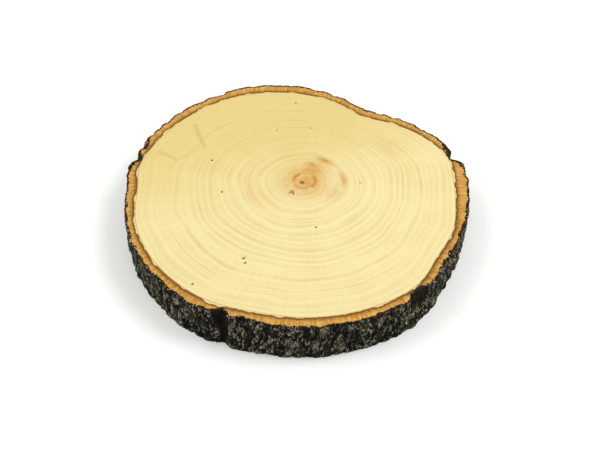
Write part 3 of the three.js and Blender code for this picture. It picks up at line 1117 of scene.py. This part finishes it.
def fibre_highlight_finish(look):
    """Torn fibres, matt and pale: their pale colour is a painted highlight on the raised fibres, a broken
    light line between orange cut and dark crust.
    """
    material, tree, shader = new_material("Torn fibres, painted highlight")
    put = partial(add, tree)
    place = put("ShaderNodeTexCoord").outputs["Object"]
    fleck = put("ShaderNodeTexNoise", named={"Vector": place, "Scale": 1 / (1.5 * MM), "Detail": 2.0})
    shade = put("ShaderNodeMapRange", fleck, 0.3, 0.7, 0.6, 1.0)
    tint = put("ShaderNodeVectorMath", named={"Vector": look.fibre[:3], "Scale": shade}, operation="SCALE")
    feed(tree, shader.inputs["Base Color"], tint)
    shader.inputs["Roughness"].default_value = 0.85
    shader.inputs["Specular IOR Level"].default_value = 0.2
    return material


class WOODSLICE_OT_fibres(bpy.types.Operator):
    """Stands torn fibres along the saw cut's outer edge"""

    bl_idname = "wood_slice.fibres"
    bl_label = "Torn fibres"

    def execute(self, context):
        look = context.scene.slice_fibres
        piece = bark_copy("torn_fibres")
        run_tree(
            piece,
            fibre_tree(),
            {
                "Density": look.density,
                "Length": look.size,
                "Thickness": look.thickness,
                "Seed": look.seed,
                "Material": fibre_highlight_finish(look),
            },
        )
        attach(piece, BODY)
        return {"FINISHED"}


def paper_sweep(look):
    """Matt white paper over a lit table: no gloss, light shadows and a trace of tooth."""
    material, tree, shader = new_material("Matt white paper")
    place = add(tree, "ShaderNodeTexCoord").outputs["Object"]
    tooth = add(tree, "ShaderNodeTexNoise", named={"Vector": place, "Scale": 1 / (2 * MM), "Detail": 2.0})
    grain = add(tree, "ShaderNodeBump", named={"Strength": 0.03, "Distance": 0.1 * MM, "Height": tooth})
    feed(tree, shader.inputs["Normal"], grain)
    shader.inputs["Base Color"].default_value = look.floor
    shader.inputs["Emission Color"].default_value = look.floor
    shader.inputs["Emission Strength"].default_value = look.floor_glow
    shader.inputs["Roughness"].default_value = 1.0
    shader.inputs["Specular IOR Level"].default_value = 0.0
    return material


class WOODSLICE_OT_stage(bpy.types.Operator):
    """Sets the slice on white paper under soft light, seen as in the photograph"""

    bl_idname = "wood_slice.stage"
    bl_label = "Stage"

    def execute(self, context):
        look = context.scene.slice_stage
        scene = context.scene
        turns = ((-1, -1), (1, -1), (1, 1), (-1, 1))
        corners = np.array([(FLOOR_HALF * x, FLOOR_HALF * y, -FLOOR_DROP) for x, y in turns])
        floor = new_piece("floor", corners, [(0, 1, 2, 3)])
        floor.data.materials.append(paper_sweep(look))

        scene.world = bpy.data.worlds.new("Soft room")
        scene.world.use_nodes = True
        sky = scene.world.node_tree.nodes["Background"]
        sky.inputs["Color"].default_value = look.sky
        sky.inputs["Strength"].default_value = look.sky_strength
        for name, side, power in (("Right lamp", 1, look.right_power), ("Left lamp", -1, look.left_power)):
            lamp = bpy.data.lights.new(name, "AREA")
            lamp.shape = "DISK"
            lamp.size = look.lamp_size
            lamp.energy = power
            stand = bpy.data.objects.new(name, lamp)
            stand.location = (side * look.lamp_place[0], look.lamp_place[1], look.lamp_place[2])
            stand.rotation_euler = (-stand.location).to_track_quat("-Z", "Y").to_euler()
            scene.collection.objects.link(stand)

        pith = wood_outline(WOOD_SPOKES)[0]
        aim = Vector((*(pith + np.array(AIM_FROM_PITH)), 0))
        lens = bpy.data.cameras.new("Camera")
        lens.sensor_width = SENSOR
        lens.lens = PHOTO_FOCAL * SENSOR / PHOTO_WIDTH
        camera = bpy.data.objects.new("Camera", lens)
        back = Vector((0, -math.cos(look.elevation), math.sin(look.elevation)))
        camera.location = aim + look.distance * back
        camera.rotation_euler = (math.pi / 2 - look.elevation, 0, 0)
        scene.collection.objects.link(camera)
        scene.camera = camera
        scene.view_settings.view_transform = "Standard"
        return {"FINISHED"}


class WOODSLICE_PT_panel(bpy.types.Panel):
    bl_idname = "WOODSLICE_PT_panel"
    bl_label = "Wood slice"
    bl_space_type = "VIEW_3D"
    bl_region_type = "UI"
    bl_category = "Wood slice"

    def draw(self, context):
        for operator, settings in STEPS:
            box = self.layout.box()
            box.operator(operator.bl_idname)
            group = getattr(context.scene, settings)
            for name in group.bl_rna.properties.keys():
                if name not in ("rna_type", "name"):
                    box.prop(group, name)


STEPS = (
    (WOODSLICE_OT_wood, "slice_wood"),
    (WOODSLICE_OT_bark, "slice_bark"),
    (WOODSLICE_OT_scales, "slice_scales"),
    (WOODSLICE_OT_fibres, "slice_fibres"),
    (WOODSLICE_OT_stage, "slice_stage"),
)
GROUPS = {
    "slice_wood": WoodSettings,
    "slice_bark": BarkSettings,
    "slice_scales": ScaleSettings,
    "slice_fibres": FibreSettings,
    "slice_stage": StageSettings,
}


def register():
    for name, group in GROUPS.items():
        bpy.utils.register_class(group)
        setattr(bpy.types.Scene, name, PointerProperty(type=group))
    for operator, _ in STEPS:
        bpy.utils.register_class(operator)
    bpy.utils.register_class(WOODSLICE_PT_panel)


def unregister():
    bpy.utils.unregister_class(WOODSLICE_PT_panel)
    for operator, _ in reversed(STEPS):
        bpy.utils.unregister_class(operator)
    for name, group in GROUPS.items():
        delattr(bpy.types.Scene, name)
        bpy.utils.unregister_class(group)


def main():
    register()
    bpy.ops.wood_slice.wood()
    bpy.ops.wood_slice.bark()
    bpy.ops.wood_slice.scales()
    bpy.ops.wood_slice.fibres()
    bpy.ops.wood_slice.stage()


if __name__ == "__main__":
    main()
